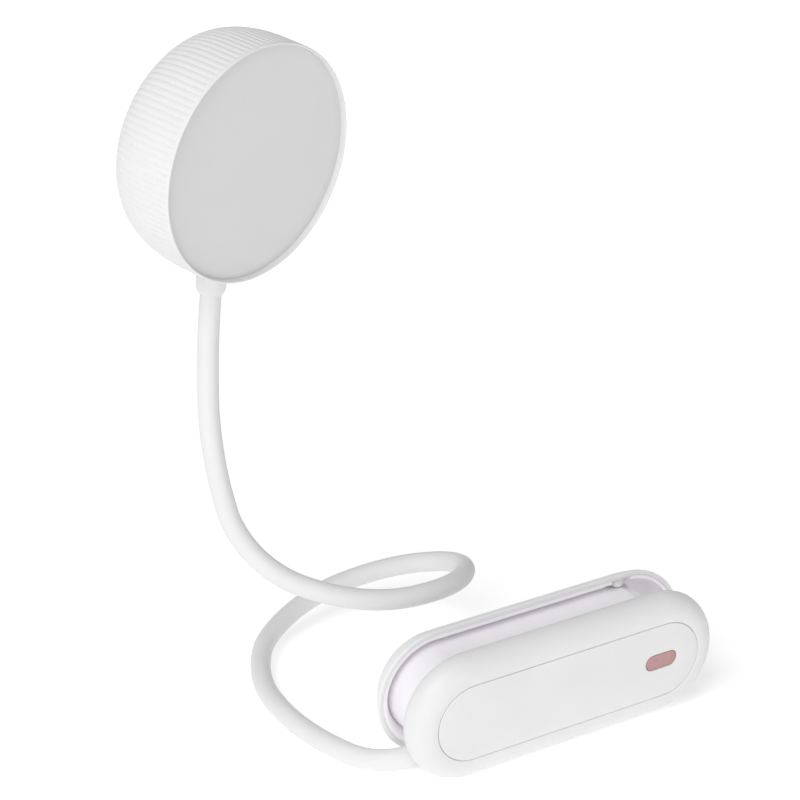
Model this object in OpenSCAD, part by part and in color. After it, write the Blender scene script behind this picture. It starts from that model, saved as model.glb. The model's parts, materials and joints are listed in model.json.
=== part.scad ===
// Clip-on reading lamp: a spring clip that holds the battery, a bendable neck and a round head.
// Millimetres. +Z is up, +X runs along the clip towards its tail, +Y from the front panel to the jaw.
// The origin is the centre of the contact face of the clip's fixed pad.
// "Depth" always means the distance behind the front panel's face.

/* [Clip] */
// Half the distance between the centres of the clip's round ends
end_x = 37; // [36.5:0.5:38]
// Largest radius of the clip's round ends
clip_r = 21.9; // [21.7:0.1:22.2]
// Depth of the fixed pad's contact face
pad_depth = 30; // [29.8:0.1:30.1]
// Depth of the front housing
front_depth = 10.4; // [10.2:0.1:10.6]
// Rounding of the front housing's front edge
front_round = 6.7; // [6.2:0.1:6.8]
// Radius of the front panel's round ends
panel_r = 13.5; // [12.5:0.5:14]
// Wall thickness of the plastic shells
wall = 1.7; // [1.5:0.1:1.8]

/* [Core] */
// Radius of the core's round end
core_r = 14.8; // [14.5:0.1:14.9]
// Depth of the core's rear wall
core_depth = 28; // [27.7:0.1:28.1]
// Where the core ends beside the tail
core_end_x = 40; // [39:0.5:40]
// Radius of the soft pad that covers the core
pad_r = 16.2; // [16:0.1:16.3]
// Where the soft pad ends beside the hinge
pad_end_x = 36; // [35.8:0.1:36.2]

/* [Jaw] */
// Depth of the jaw's rim
rim_depth = 22.7; // [22.6:0.1:22.8]
// Depth of the jaw's flat back
jaw_depth = 33.3; // [33.2:0.1:33.8]
// Radius of the rounded edge next to the jaw's rim
jaw_edge = 4.7; // [4.5:0.1:4.8]
// Thickness of the soft liner
liner_t = 1.15; // [1:0.05:1.2]

/* [Hinge] */
// Place of the hinge pin along the clip
pin_x = 35; // [34.5:0.5:35]
// Depth of the hinge pin
pin_depth = 25.5; // [25.4:0.1:25.6]
// Radius of the hinge pin
pin_r = 1.25; // [1.1:0.05:1.3]
// Radius of the jaw's lugs around the pin
lug_r = 2; // [1.9:0.1:2.1]

/* [Button] */
// Place of the button along the clip
button_x = 35.8; // [35:0.2:36]
// Length and width of the button
button_size = [12.2, 5.4];

/* [Neck] */
// Outer radius of the neck's sleeve
sleeve_r = 3.5; // [3.45:0.01:3.5]
// Radius of the metal core in the neck
neck_core_r = 2; // [1.5:0.1:2.2]
// Radius of the rounded nose at the end of each stretch of neck
nose_r = 3.4; // [3.2:0.1:3.4]

/* [Head] */
// Radius of the head
head_r = 38.5; // [37:0.5:40]
// Depth of the head
head_depth = 28.5; // [27:0.5:30]
// Turn of the head to the side, in degrees
head_yaw = 17; // [0:1:30]
// Downward tilt of the head, in degrees
head_pitch = 5.5; // [0:0.5:15]
// Width of the smooth rim around the diffuser
head_rim = 1.05; // [0.8:0.05:1.2]
// How deep the diffuser lies behind the rim
head_recess = 1.75; // [1.5:0.05:2]
// Distance of the collar's axis behind the head's face
collar_y = 19; // [17:0.5:20]
// Radius of the collar below the head
collar_r = 4.85; // [4.6:0.05:5]
// Length of the collar that shows below the head
collar_len = 12; // [11:0.5:13]
// Number of light-emitting diodes
led_count = 24; // [12:2:30]

/* [Hidden] */
$fn = 64;
eps = 0.01;
fit_gap = 0.05;         // between pieces of one body that lie against each other
move_gap = 0.3;         // between pieces that move past each other
seam_gap = 0.15;        // around the front panel
rear_round = front_depth - front_round;

// Front housing, depths of its layers
panel_t = 1.4;
cavity_depth = panel_t + 1.5;
flange_depth = front_depth - 1.5;
cavity_r = clip_r - 2.7;
flange_r = 17;
board_depth = 6.4;
board_t = 1.2;
board_r = 14.5;
board_tongue = [55, 10];                    // where the board's tongue for the inlet ends, and its width

// Screw posts: [x, height] of each
core_posts = [[-43, 8], [-43, -8], [25, 10], [25, -10]];
board_posts = [[-25, 0], [10, 0]];
post_r = 2.6;
screw_r = 1;
screw_hole_r = 1.2;
screw_head_r = 2.1;
screw_head_t = 1.1;

// Core and jaw
core_rear_t = 2;
block_x = 29;                               // the solid hinge block starts here
pad_round = 4;
pad_front_depth = 14;
pad_gap = 0.4;                              // between the pad and the jaw's cushion
cushion_end = 28;                           // the cushion stops here, ahead of the hinge
cushion_depth = 27;                         // where its sloping lip meets the pad's outline
jaw_edge_at = [clip_r - jaw_edge, rim_depth];
jaw_back_at = [pad_r - pad_round, pad_depth - pad_round];
jaw_back = jaw_depth - jaw_back_at[1];      // radius of the jaw's rear edge, round the pad's own
jaw_step = jaw_edge_at - jaw_back_at;
jaw_slope = acos((jaw_back - jaw_edge) / norm(jaw_step)) + atan2(jaw_step[1], jaw_step[0]);
lug_z = [pad_r + 0.7, clip_r - 2];          // inner and outer height of each lug
bore_half = clip_r - 2.6;                   // the lugs' bores stop inside the jaw's wall
pin_half = bore_half - 0.3;
pin_gap = 0.05;
lug_foot = [6.4, 3.5];                      // width of a lug's foot, and how far it runs back

// Torsion spring on the hinge pin
wire_r = 0.35;
coil_r = pin_r + 0.2 + wire_r;
coil_turns = 6;
coil_pitch = 0.9;
coil_steps = 12;                            // steps in one turn
spring_pocket = [30.5, 5, 20.5];            // start in x, half height, depth of its floor
core_leg = [39.4, 20.9];                    // [x, depth] where the spring presses the core
jaw_leg = [50, 30];                         // [x, depth] where the spring presses the jaw's tail

// Button and switch
button_face = 0.25;
button_flange = [3.2, 4.2];
button_flange_edge = 0.9;
switch_size = [6, 6, 1.1];
plunger_r = 1.6;
plunger_tip = 4.86;

// Inlet
usb_size = [7.3, 8.9, 3.2];
usb_mouth_x = 57.6;
usb_centre_depth = board_depth - usb_size[2] / 2;

battery_size = [56, 23, 9];
battery_x = -7;
battery_depth = core_depth - core_rear_t - battery_size[2] - fit_gap;

// Neck: each stretch is one arc from a joint, through a middle point, to the next joint
neck_joints = [
    [-47.5, -14.5, -16], [-67, 2, -18.4], [-72, 38, -18.3], [-59, 71, -16.5],
    [-27, 83.5, -9.7], [1.5, 67, 0.8], [0, 35, 12.8], [-30.5, 20, 19.3],
    [-63.5, 29.5, 27.5], [-83, 46.5, 51], [-83.1, 58.5, 84.6], [-77.5, 65.5, 120.5],
];
neck_middles = [
    [-56.5, -10.8, -18], [-71.5, 20, -18.4], [-68, 56, -18], [-44, 80.5, -13.7],
    [-10.5, 78.5, -4.9], [5.8, 51, 7.2], [-13, 24, 16.8], [-48, 22.5, 22.3],
    [-76, 38.5, 36.6], [-84.3, 52.4, 67.6], [-80.4, 63, 101.4],
];
neck_links = len(neck_middles);
cup_r = nose_r + move_gap;
ball_turn = 100;                            // keeps the seams of the noses clear of the tubes' seams
bore_r = neck_core_r + 0.1;
gland_start = [-40, -15.3, -12.5];
gland_r = 4.3;
gland_gap = 2.5;                            // from the gland's end to the first joint
gland_neck_r = 3;                           // the part of the gland inside the core's wall

// Head
head_wall = 1.6;
head_front_len = 10.5;                      // the straight part of the drum's side
head_back_r = head_r - 7.2;
head_profile_steps = 10;
collar_drop = head_r + collar_len + 1.2;    // from the head's axis to the last joint
diffuser_t = 1.5;
ledge_w = 2;
led_board_r = 31;
led_board_depth = 16;
led_board_t = 1.2;
led_size = [2.8, 3.5, 0.7];
led_rings = [10, 20];
boss_ring = 27;
boss_count = 3;
boss_r = 3;
socket_r = 7.5;                             // block of the shell around the collar
socket_top = 5.5;                           // its height below the rim of the drum
collar_flange = 0.9;                        // holds the collar in the block

shell_white = [0.95, 0.95, 0.95];
soft_lilac = [0.9, 0.89, 0.93];
button_pink = [0.8, 0.52, 0.52];
board_green = [0.1, 0.35, 0.2];
metal_grey = [0.7, 0.7, 0.72];
diffuser_grey = [0.83, 0.83, 0.83];

// ---- Frames of reference ----

// Local z becomes depth behind the front panel, local y points down
module from_front() {
    translate([0, -pad_depth, 0]) rotate([-90, 0, 0]) children();
}

// Local z becomes depth behind the head's face, local y points down the head
module in_head() {
    translate(neck_joints[neck_links]) rotate([head_pitch, 0, head_yaw])
        translate([0, -collar_y, collar_drop]) rotate([-90, 0, 0]) children();
}

// ---- Outlines and sections ----

module stadium(r) {
    square([2 * end_x, 2 * r], center = true);
    for (side = [-1, 1]) translate([side * end_x, 0]) circle(r);
}

// A slot with round ends, length and width outside
module pill(size) {
    square([size[0] - size[1], size[1]], center = true);
    for (side = [-1, 1]) translate([side * (size[0] - size[1]) / 2, 0]) circle(size[1] / 2);
}

// Round at the mouth end, square at the tail end
module core_outline(r, x) {
    translate([-end_x, 0]) circle(r);
    translate([-end_x, -r]) square([end_x + x, 2 * r]);
}

module quarter(r) {
    intersection() {
        circle(r);
        square(r);
    }
}

// Half section of a body with rounded front and rear edges: radius along x, depth along y
module edge_section(r, depth, front, rear) {
    translate([r - front, front]) mirror([0, 1]) quarter(front);
    translate([r - rear, depth - rear]) quarter(rear);
    square([r - front, front + eps]);
    translate([0, front]) square([r - rear, depth - front]);
    if (depth - front - rear > eps) translate([0, front]) square([r, depth - front - rear]);
}

// Half section of a piece with a rounded rear edge, from one depth to another
module rear_section(r, from, depth, rear) {
    translate([0, from]) square([r - rear, depth - from]);
    translate([0, from]) square([r, depth - rear - from]);
    translate([r - rear, depth - rear]) quarter(rear);
}

// ---- Bodies swept round the clip's outline from a half section ----

module round_end(x, turn) {
    translate([x, 0, 0]) rotate([0, 0, turn]) rotate_extrude(angle = 180) children();
}

module straight_run(x0, x1) {
    translate([x0, 0, 0]) rotate([90, 0, 90]) linear_extrude(height = x1 - x0) {
        children();
        mirror([1, 0]) children();
    }
}

module swept_stadium() {
    round_end(-end_x, 90) children();
    round_end(end_x, -90) children();
    straight_run(-end_x, end_x) children();
}

module swept_core(x) {
    round_end(-end_x, 90) children();
    straight_run(-end_x, x) children();
}

// ---- Front housing ----

module posts(places, r, from, to) {
    for (p = places) translate([p[0], p[1], from]) cylinder(r = r, h = to - from);
}

module usb_slot(grow) {
    translate([end_x + cavity_r - 3, 0, usb_centre_depth]) rotate([0, 90, 0])
        linear_extrude(height = clip_r) pill_upright([usb_size[1] + grow, usb_size[2] + grow]);
}

// The same slot shape, standing along local y
module pill_upright(size) {
    rotate(90) pill(size);
}

module front_shell() color(shell_white) from_front() difference() {
    union() {
        difference() {
            swept_stadium() edge_section(clip_r, front_depth, front_round, rear_round);
            translate([0, 0, cavity_depth]) linear_extrude(height = flange_depth - cavity_depth + eps)
                stadium(cavity_r);
            translate([0, 0, flange_depth]) linear_extrude(height = front_depth)
                stadium(flange_r + fit_gap);
        }
        posts(core_posts, post_r, cavity_depth - 0.5, flange_depth);
        posts(board_posts, post_r, cavity_depth - 0.5, board_depth);
    }
    translate([0, 0, -1]) linear_extrude(height = 1 + panel_t + fit_gap) stadium(panel_r + seam_gap);
    translate([button_x, 0, 0]) linear_extrude(height = cavity_depth + eps)
        pill(button_size + 2 * [move_gap, move_gap]);
    posts(core_posts, screw_r, cavity_depth, flange_depth + eps);
    posts(board_posts, screw_r, cavity_depth, board_depth + eps);
    usb_slot(0.3);
}

module front_panel() color(shell_white) from_front() linear_extrude(height = panel_t) difference() {
    stadium(panel_r);
    translate([button_x, 0]) pill(button_size + 2 * [move_gap, move_gap]);
}

module power_button() color(button_pink) from_front() translate([button_x, 0, 0]) {
    translate([0, 0, button_face]) linear_extrude(height = button_flange[0] - button_face)
        pill(button_size);
    translate([0, 0, button_flange[0]]) linear_extrude(height = button_flange[1] - button_flange[0])
        pill(button_size + 2 * [button_flange_edge, button_flange_edge]);
}

module push_switch() color(metal_grey) from_front() translate([button_x, 0, 0]) {
    translate([-switch_size[0] / 2, -switch_size[1] / 2, board_depth - switch_size[2]]) cube(switch_size);
    translate([0, 0, plunger_tip]) cylinder(r = plunger_r, h = board_depth - plunger_tip - eps);
}

module main_board() color(board_green) from_front() translate([0, 0, board_depth])
    linear_extrude(height = board_t) difference() {
        union() {
            stadium(board_r);
            translate([end_x, -board_tongue[1] / 2]) square([board_tongue[0] - end_x, board_tongue[1]]);
        }
        for (p = core_posts) translate(p) circle(post_r + 0.3);
        for (p = board_posts) translate(p) circle(screw_hole_r);
    }

module board_screws() color(metal_grey) from_front() {
    posts(board_posts, screw_r - fit_gap, cavity_depth + 0.5, board_depth + board_t + eps);
    posts(board_posts, screw_head_r, board_depth + board_t, board_depth + board_t + screw_head_t);
}

// Shell of the charging inlet, with its open mouth at the tail end
module usb_socket() color(metal_grey) from_front()
    translate([usb_mouth_x - usb_size[0], 0, usb_centre_depth]) rotate([0, 90, 0]) difference() {
        linear_extrude(height = usb_size[0]) pill_upright([usb_size[1], usb_size[2]]);
        translate([0, 0, 1]) linear_extrude(height = usb_size[0])
            pill_upright([usb_size[1] - 0.6, usb_size[2] - 0.6]);
    }

// ---- Core behind the front housing ----

module battery() color("lightsteelblue") from_front()
    translate([battery_x - battery_size[0] / 2, -battery_size[1] / 2, battery_depth])
        cube(battery_size);

module gland_axis(from, to, r) {
    along = neck_joints[0] - gland_start;
    side = atan2(along[1], along[0]);
    down = acos(along[2] / norm(along));
    translate(gland_start) rotate([0, down, side]) translate([0, 0, from])
        cylinder(r = r, h = to - from);
}

gland_len = norm(neck_joints[0] - gland_start);

module core_housing() color(shell_white) difference() {
    from_front() difference() {
        union() {
            translate([0, 0, flange_depth]) linear_extrude(height = front_depth - flange_depth)
                stadium(flange_r);
            translate([0, 0, flange_depth]) linear_extrude(height = core_depth - flange_depth)
                core_outline(core_r, core_end_x);
        }
        difference() {
            translate([0, 0, flange_depth - eps])
                linear_extrude(height = core_depth - core_rear_t - flange_depth + eps)
                    core_outline(core_r - wall, block_x - wall);
            posts(core_posts, post_r, flange_depth - 1, core_depth);
        }
        posts(core_posts, screw_hole_r, flange_depth - 1, core_depth + 1);
        posts(core_posts, screw_head_r + fit_gap, core_depth - screw_head_t - fit_gap, core_depth + 1);
        translate([spring_pocket[0], -spring_pocket[1], spring_pocket[2]])
            cube([core_end_x, 2 * spring_pocket[1], core_depth]);
    }
    hinge_axis() cylinder(r = pin_r + eps, h = 4 * clip_r, center = true);
    gland_axis(-5, gland_len, gland_neck_r + fit_gap);
}

module core_screws() color(metal_grey) from_front() {
    posts(core_posts, screw_r - fit_gap, cavity_depth + 0.5, core_depth - screw_head_t + eps);
    posts(core_posts, screw_head_r, core_depth - screw_head_t, core_depth);
}

module clip_pad() color(soft_lilac) difference() {
    from_front() difference() {
        swept_core(pad_end_x) rear_section(pad_r, pad_front_depth, pad_depth, pad_round);
        translate([0, 0, front_depth]) linear_extrude(height = core_depth - front_depth + fit_gap)
            core_outline(core_r + fit_gap, 2 * core_end_x);
    }
    hinge_axis() cylinder(r = 2 * pin_r, h = 4 * clip_r, center = true);
    gland_axis(-3, gland_len, gland_r + 0.1);
}

// Boss that the neck comes out of, with a spigot through the core's wall
module neck_gland() color(shell_white) {
    difference() {
        gland_axis(-1, gland_len - gland_gap, gland_r);
        from_front() linear_extrude(height = core_depth) core_outline(core_r + fit_gap, core_end_x);
    }
    gland_axis(-1, gland_len - gland_gap, gland_neck_r);
    gland_axis(gland_len - gland_gap - 1, gland_len, nose_r);
    neck_ball(0, nose_r);
}

// ---- Hinge, spring and jaw ----

module hinge_axis() {
    translate([pin_x, pin_depth - pad_depth, 0]) children();
}

module hinge_pin() color(metal_grey) hinge_axis()
    cylinder(r = pin_r, h = 2 * pin_half, center = true);

// A round wire of radius r along a list of points
function wire_rings(path, r, sides) = [
    for (i = [0:len(path) - 1])
        let (
            a = path[max(i - 1, 0)],
            b = path[min(i + 1, len(path) - 1)],
            t = (b - a) / norm(b - a),
            ref = abs(t[2]) > 0.9 ? [1, 0, 0] : [0, 0, 1],
            u = cross(ref, t) / norm(cross(ref, t)),
            v = cross(t, u)
        )
        for (j = [0:sides - 1])
            path[i] + r * (cos(360 * j / sides) * u + sin(360 * j / sides) * v)
];

module wire(path, r, sides) {
    last = (len(path) - 1) * sides;
    polyhedron(
        points = wire_rings(path, r, sides),
        faces = concat(
            [[for (j = [0:sides - 1]) j]],
            [[for (j = [sides - 1:-1:0]) last + j]],
            [for (i = [0:len(path) - 2]) for (j = [0:sides - 1])
                let (k = (j + 1) % sides, a = i * sides)
                [a + j, a + sides + j, a + sides + k, a + k]]
        )
    );
}

// Both legs leave the coil along its tangents and spread the core and the jaw's tail apart
core_end = [core_leg[0] - pin_x, core_leg[1] - pin_depth];
jaw_end = [jaw_leg[0] - pin_x, jaw_leg[1] - pin_depth];
first_angle = atan2(core_end[1], core_end[0]) - acos(coil_r / norm(core_end));
last_angle = atan2(jaw_end[1], jaw_end[0]) + acos(coil_r / norm(jaw_end)) - 360 * (coil_turns + 1);
coil_half = (first_angle - last_angle) / 360 * coil_pitch / 2;
coil_count = ceil((first_angle - last_angle) / 360 * coil_steps);
coil_path = [
    for (i = [0:coil_count])
        let (f = i / coil_count, angle = first_angle + (last_angle - first_angle) * f)
        [coil_r * cos(angle), coil_r * sin(angle), coil_half * (2 * f - 1)]
];
spring_path = concat(
    [[core_end[0], core_end[1], -coil_half]], coil_path, [[jaw_end[0], jaw_end[1], coil_half]]
);

module torsion_spring() color(metal_grey) hinge_axis() wire(spring_path, wire_r, 6);

module jaw_lugs(z0, z1) {
    for (z = [z0, -z1]) hinge_axis() translate([0, 0, z]) {
        cylinder(r = lug_r, h = z1 - z0);
        translate([-lug_foot[0] / 2, 0, 0]) cube([lug_foot[0], lug_foot[1], z1 - z0]);
    }
}

// Half section of the jaw shrunk by t: a rounded edge, a straight slope and a rounded back
module jaw_section(t, from) {
    slope = [cos(jaw_slope), sin(jaw_slope)];
    intersection() {
        translate([0, from]) square([clip_r, jaw_depth]);
        union() {
            translate(jaw_edge_at) circle(jaw_edge - t);
            translate(jaw_back_at) circle(jaw_back - t);
            polygon([
                [0, from], [clip_r - t, from], [clip_r - t, rim_depth],
                jaw_edge_at + (jaw_edge - t) * slope, jaw_back_at + (jaw_back - t) * slope,
                [jaw_back_at[0], jaw_depth - t], [0, jaw_depth - t],
            ]);
        }
    }
}

module rear_jaw() color(shell_white) difference() {
    union() {
        from_front() difference() {
            swept_stadium() jaw_section(0, rim_depth);
            swept_stadium() jaw_section(wall, rim_depth - 1);
        }
        intersection() {
            jaw_lugs(lug_z[0], lug_z[1]);
            from_front() swept_stadium() jaw_section(wall / 2, rim_depth);
        }
    }
    hinge_axis() cylinder(r = pin_r + pin_gap, h = 2 * bore_half, center = true);
}

// Hollow of the cushion: a sloping lip, then the pad's own outline
module cushion_section() {
    lip_r = clip_r - wall - liner_t;
    rear_section(pad_r + pad_gap, rim_depth - 1, pad_depth + pad_gap, pad_round + pad_gap);
    polygon([
        [0, rim_depth - 1], [lip_r, rim_depth - 1], [lip_r, rim_depth + 0.3],
        [pad_r + pad_gap - 0.1, cushion_depth], [0, cushion_depth],
    ]);
}

// Room for the lugs, open through the lip
module lug_notches() {
    size = [lug_foot[0] + 1.2, lug_foot[1] + 4.5, 6];
    for (side = [-1, 1]) hinge_axis() translate([0, 0.25, side * (lug_z[0] + size[2] / 2 - 1)])
        cube(size, center = true);
}

// Thick where it faces the pad, thin round the hinge
module jaw_liner() color(soft_lilac) difference() {
    from_front() difference() {
        swept_stadium() jaw_section(wall + fit_gap, rim_depth + 0.3);
        swept_core(cushion_end + eps) cushion_section();
        round_end(end_x, -90) jaw_section(wall + liner_t, rim_depth - 1);
        straight_run(cushion_end, end_x) jaw_section(wall + liner_t, rim_depth - 1);
    }
    lug_notches();
}

// ---- Neck ----

function arc_centre(a, b, c) =
    let (u = b - a, v = c - a, n = cross(u, v))
    a + (cross(n, u) * (v * v) + cross(v, n) * (u * u)) / (2 * (n * n));

// Part of the tube along the arc a, b, c. cut_in and cut_out shorten its ends, in mm along the arc
module arc_tube(a, b, c, r, cut_in, cut_out) {
    centre = arc_centre(a, b, c);
    bend = norm(a - centre);
    ex = (a - centre) / bend;
    ez = cross(b - a, c - a) / norm(cross(b - a, c - a));
    ey = cross(ez, ex);
    sweep = atan2((c - centre) * ey, (c - centre) * ex);
    start = cut_in / bend * 180 / PI;
    stop = cut_out / bend * 180 / PI;
    multmatrix([
        [ex[0], ey[0], ez[0], centre[0]],
        [ex[1], ey[1], ez[1], centre[1]],
        [ex[2], ey[2], ez[2], centre[2]],
    ])
        rotate([0, 0, start]) rotate_extrude(angle = sweep - start - stop) translate([bend, 0]) circle(r);
}

module neck_tube(k, r, cut_in, cut_out) {
    arc_tube(neck_joints[k - 1], neck_middles[k - 1], neck_joints[k], r, cut_in, cut_out);
}

module neck_ball(k, r) {
    translate(neck_joints[k]) rotate(ball_turn) sphere(r);
}

// Each stretch ends in a rounded nose, which sits in the hollow start of the next one
module neck_sleeve(k) color(shell_white) difference() {
    union() {
        neck_tube(k, sleeve_r, 0, 0);
        neck_ball(k, nose_r);
    }
    neck_ball(k - 1, cup_r);
    neck_tube(k, bore_r, -1, -nose_r - 1);
}

module neck_core(k) color(metal_grey) neck_tube(k, neck_core_r, cup_r + 0.4, -1.5);

// ---- Head ----

function head_radius(i) = head_r - (head_r - head_back_r) * (1 - cos(90 * i / head_profile_steps));
function head_y(i) = head_front_len + (head_depth - head_front_len) * sin(90 * i / head_profile_steps);

// Half section of the drum, shrunk by t on every side but the front
module head_section(t) {
    polygon(concat(
        [[0, 0], [head_r - t, 0]],
        [for (i = [0:head_profile_steps]) [head_radius(i) - t, head_y(i) - t * sin(90 * i / head_profile_steps)]],
        [[0, head_depth - t]]
    ));
}

module boss_places() {
    for (i = [0:boss_count - 1]) rotate(360 * i / boss_count + 30) translate([boss_ring, 0, 0]) children();
}

module head_shell() color(shell_white) in_head() difference() {
    union() {
        difference() {
            rotate_extrude() head_section(0);
            rotate_extrude() intersection() {
                head_section(head_wall);
                translate([0, head_recess + diffuser_t]) square([head_r - head_rim - ledge_w, head_depth]);
            }
            translate([0, 0, -1]) cylinder(r = head_r - head_rim, h = 1 + head_recess + diffuser_t);
        }
        boss_places() translate([0, 0, led_board_depth + led_board_t])
            cylinder(r = boss_r, h = head_depth - head_wall + 0.5 - led_board_depth - led_board_t);
        intersection() {
            rotate_extrude() head_section(head_wall / 2);
            translate([0, head_r - socket_top, collar_y]) rotate([-90, 0, 0]) cylinder(r = socket_r, h = 9);
        }
    }
    boss_places() translate([0, 0, led_board_depth]) cylinder(r = screw_r, h = 8);
    translate([0, 0, collar_y]) rotate([-90, 0, 0]) cylinder(r = collar_r + fit_gap, h = collar_drop);
}

module diffuser() color(diffuser_grey) in_head() translate([0, 0, head_recess])
    cylinder(r = head_r - head_rim - fit_gap, h = diffuser_t);

module led_board() color("white") in_head() translate([0, 0, led_board_depth]) difference() {
    cylinder(r = led_board_r, h = led_board_t);
    boss_places() translate([0, 0, -1]) cylinder(r = screw_hole_r, h = led_board_t + 2);
}

// Two rings of diodes: a third of them inside, the rest outside
module leds() color("khaki") in_head()
    for (ring = [0:len(led_rings) - 1])
        let (count = ring == 0 ? led_count / 3 : led_count * 2 / 3)
        for (i = [0:count - 1])
            rotate(360 * (i + 0.5) / count) translate([led_rings[ring], 0, led_board_depth - led_size[2] / 2])
                cube(led_size, center = true);

module head_screws() color(metal_grey) in_head() boss_places() {
    translate([0, 0, led_board_depth - screw_head_t]) cylinder(r = screw_head_r, h = screw_head_t);
    translate([0, 0, led_board_depth - eps]) cylinder(r = screw_r - fit_gap, h = 6);
}

// The collar runs down from inside the drum and narrows where the neck enters it
module head_collar() color(shell_white) difference() {
    in_head() translate([0, 0, collar_y]) rotate([-90, 0, 0]) rotate_extrude() polygon([
        [0, head_r - socket_top - 1], [collar_r + collar_flange, head_r - socket_top - 1],
        [collar_r + collar_flange, head_r - socket_top], [collar_r, head_r - socket_top],
        [collar_r, head_r + collar_len - 3.5],
        [collar_r - 0.25, head_r + collar_len - 2], [collar_r - 0.75, head_r + collar_len - 0.7],
        [collar_r - 1.2, head_r + collar_len], [0, head_r + collar_len],
    ]);
    neck_ball(neck_links, cup_r);
}

front_shell();
front_panel();
power_button();
push_switch();
main_board();
board_screws();
usb_socket();
battery();
core_housing();
core_screws();
clip_pad();
neck_gland();
hinge_pin();
torsion_spring();
rear_jaw();
jaw_liner();
for (k = [1:neck_links]) neck_sleeve(k);
for (k = [1:neck_links]) neck_core(k);
head_collar();
head_shell();
diffuser();
led_board();
leds();
head_screws();
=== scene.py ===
import json
import math

import bmesh
import bpy
import numpy as np
from mathutils import Matrix, Vector


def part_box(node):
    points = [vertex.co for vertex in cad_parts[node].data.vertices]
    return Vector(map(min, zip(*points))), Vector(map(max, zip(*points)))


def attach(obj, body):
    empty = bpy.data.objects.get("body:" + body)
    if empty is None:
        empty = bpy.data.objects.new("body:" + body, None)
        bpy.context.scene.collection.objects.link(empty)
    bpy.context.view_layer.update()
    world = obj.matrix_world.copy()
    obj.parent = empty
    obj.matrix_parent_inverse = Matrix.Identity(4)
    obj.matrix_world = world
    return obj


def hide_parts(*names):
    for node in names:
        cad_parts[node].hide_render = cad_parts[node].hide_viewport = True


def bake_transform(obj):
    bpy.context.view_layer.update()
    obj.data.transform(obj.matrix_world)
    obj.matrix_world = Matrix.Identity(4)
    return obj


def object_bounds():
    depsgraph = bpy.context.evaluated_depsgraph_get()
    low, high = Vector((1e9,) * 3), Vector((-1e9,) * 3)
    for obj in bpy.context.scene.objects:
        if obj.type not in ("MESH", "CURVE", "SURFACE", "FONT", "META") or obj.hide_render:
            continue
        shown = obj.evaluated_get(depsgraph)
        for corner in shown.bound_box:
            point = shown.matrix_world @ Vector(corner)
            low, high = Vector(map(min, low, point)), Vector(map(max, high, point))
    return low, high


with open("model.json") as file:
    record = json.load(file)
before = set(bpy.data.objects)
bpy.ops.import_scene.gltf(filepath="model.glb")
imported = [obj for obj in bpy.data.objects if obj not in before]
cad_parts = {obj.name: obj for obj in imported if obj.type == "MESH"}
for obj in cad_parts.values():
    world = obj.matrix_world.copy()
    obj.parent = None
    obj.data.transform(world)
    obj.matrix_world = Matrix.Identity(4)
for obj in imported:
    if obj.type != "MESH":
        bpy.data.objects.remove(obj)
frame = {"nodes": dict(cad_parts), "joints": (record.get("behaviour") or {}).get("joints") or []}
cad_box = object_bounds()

# A clip-on reading lamp. Lengths in the tables below are in millimetres, in the CAD's own terms:
# "depth" is the distance behind the front panel's face, or behind the head's face.
MM = 0.001

JOINTS = {joint["name"]: joint for joint in frame["joints"]}
FRONT_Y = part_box("front_shell")[0][1]
FLOOR_Z = cad_box[0][2]

# ---- Sizes that part.scad also uses ----

END_X = 37.0                # half the distance between the centres of the clip's round ends
CLIP_R = 21.9
PANEL_R = 13.5
PANEL_T = 1.4
PANEL_SEAM = 0.12           # gap between the panel and the bezel
SHELL_DEPTH = 10.4          # the front housing, from the panel's face back
BEZEL_ROUND = 6.7           # radius of the housing's front edge
SHELL_BACK_ROUND = 3.7      # radius of its rear edge
BUTTON_X = 35.8
BUTTON_HALF = 3.4           # half the distance between the centres of the button's round ends
BUTTON_R = 2.7
FLANGE_DEPTH = 3.2          # the button's flange behind the panel
INLET_DEPTH = 4.8           # the charging inlet's axis behind the front
INLET_HALF = 2.85           # half the distance between the centres of the inlet's round ends
PAD_END_X = 36.0
PAD_R = 16.2
PAD_ROUND = 4.0
PAD_FRONT = 14.0
PIN_X = 35.0
PIN_DEPTH = 25.5
RIM_DEPTH = 22.7            # the jaw's section: an edge arc, a straight slope and a back arc
JAW_WALL = 1.7
JAW_EDGE_AT = (17.2, RIM_DEPTH)
JAW_EDGE_R = 4.7
JAW_BACK_AT = (12.2, 26.0)
JAW_BACK_R = 7.3
JAW_SLOPE = 30.86
CUSHION_END = 28.0          # the jaw's cushion stops here, ahead of the hinge
CUSHION_R = 4.4             # the cushion's hollow, about the same centre as the jaw's rear arc
LUG_HEIGHTS = (16.9, 19.9)
NOTCH_SIZE = (7.6, 8.0, 6.0)
NOTCH_HEIGHT = 18.9
HEAD_YAW = math.radians(17.0)
HEAD_PITCH = math.radians(5.5)
HEAD_R = 38.5
HEAD_DEPTH = 28.5
COLLAR_DEPTH = 19.0         # the collar's axis behind the head's face
COLLAR_DROP = 51.7          # the head's axis above the last joint
SLEEVE_R = 3.5
NECK_LINKS = 11
NECK_MIDDLES = [
    (-56.5, -10.8, -18), (-71.5, 20, -18.4), (-68, 56, -18), (-44, 80.5, -13.7),
    (-10.5, 78.5, -4.9), (5.8, 51, 7.2), (-13, 24, 16.8), (-48, 22.5, 22.3),
    (-76, 38.5, 36.6), (-84.3, 52.4, 67.6), (-80.4, 63, 101.4),
]
GLAND_START = (-40, -15.3, -12.5)

# ---- Camera ----

CAMERA_PLACE = (-0.4021, -0.5924, 0.4281)
CAMERA_AZIMUTH = math.radians(-30.96)
CAMERA_ELEVATION = math.radians(25.21)
CAMERA_LENS = 112.38


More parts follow.
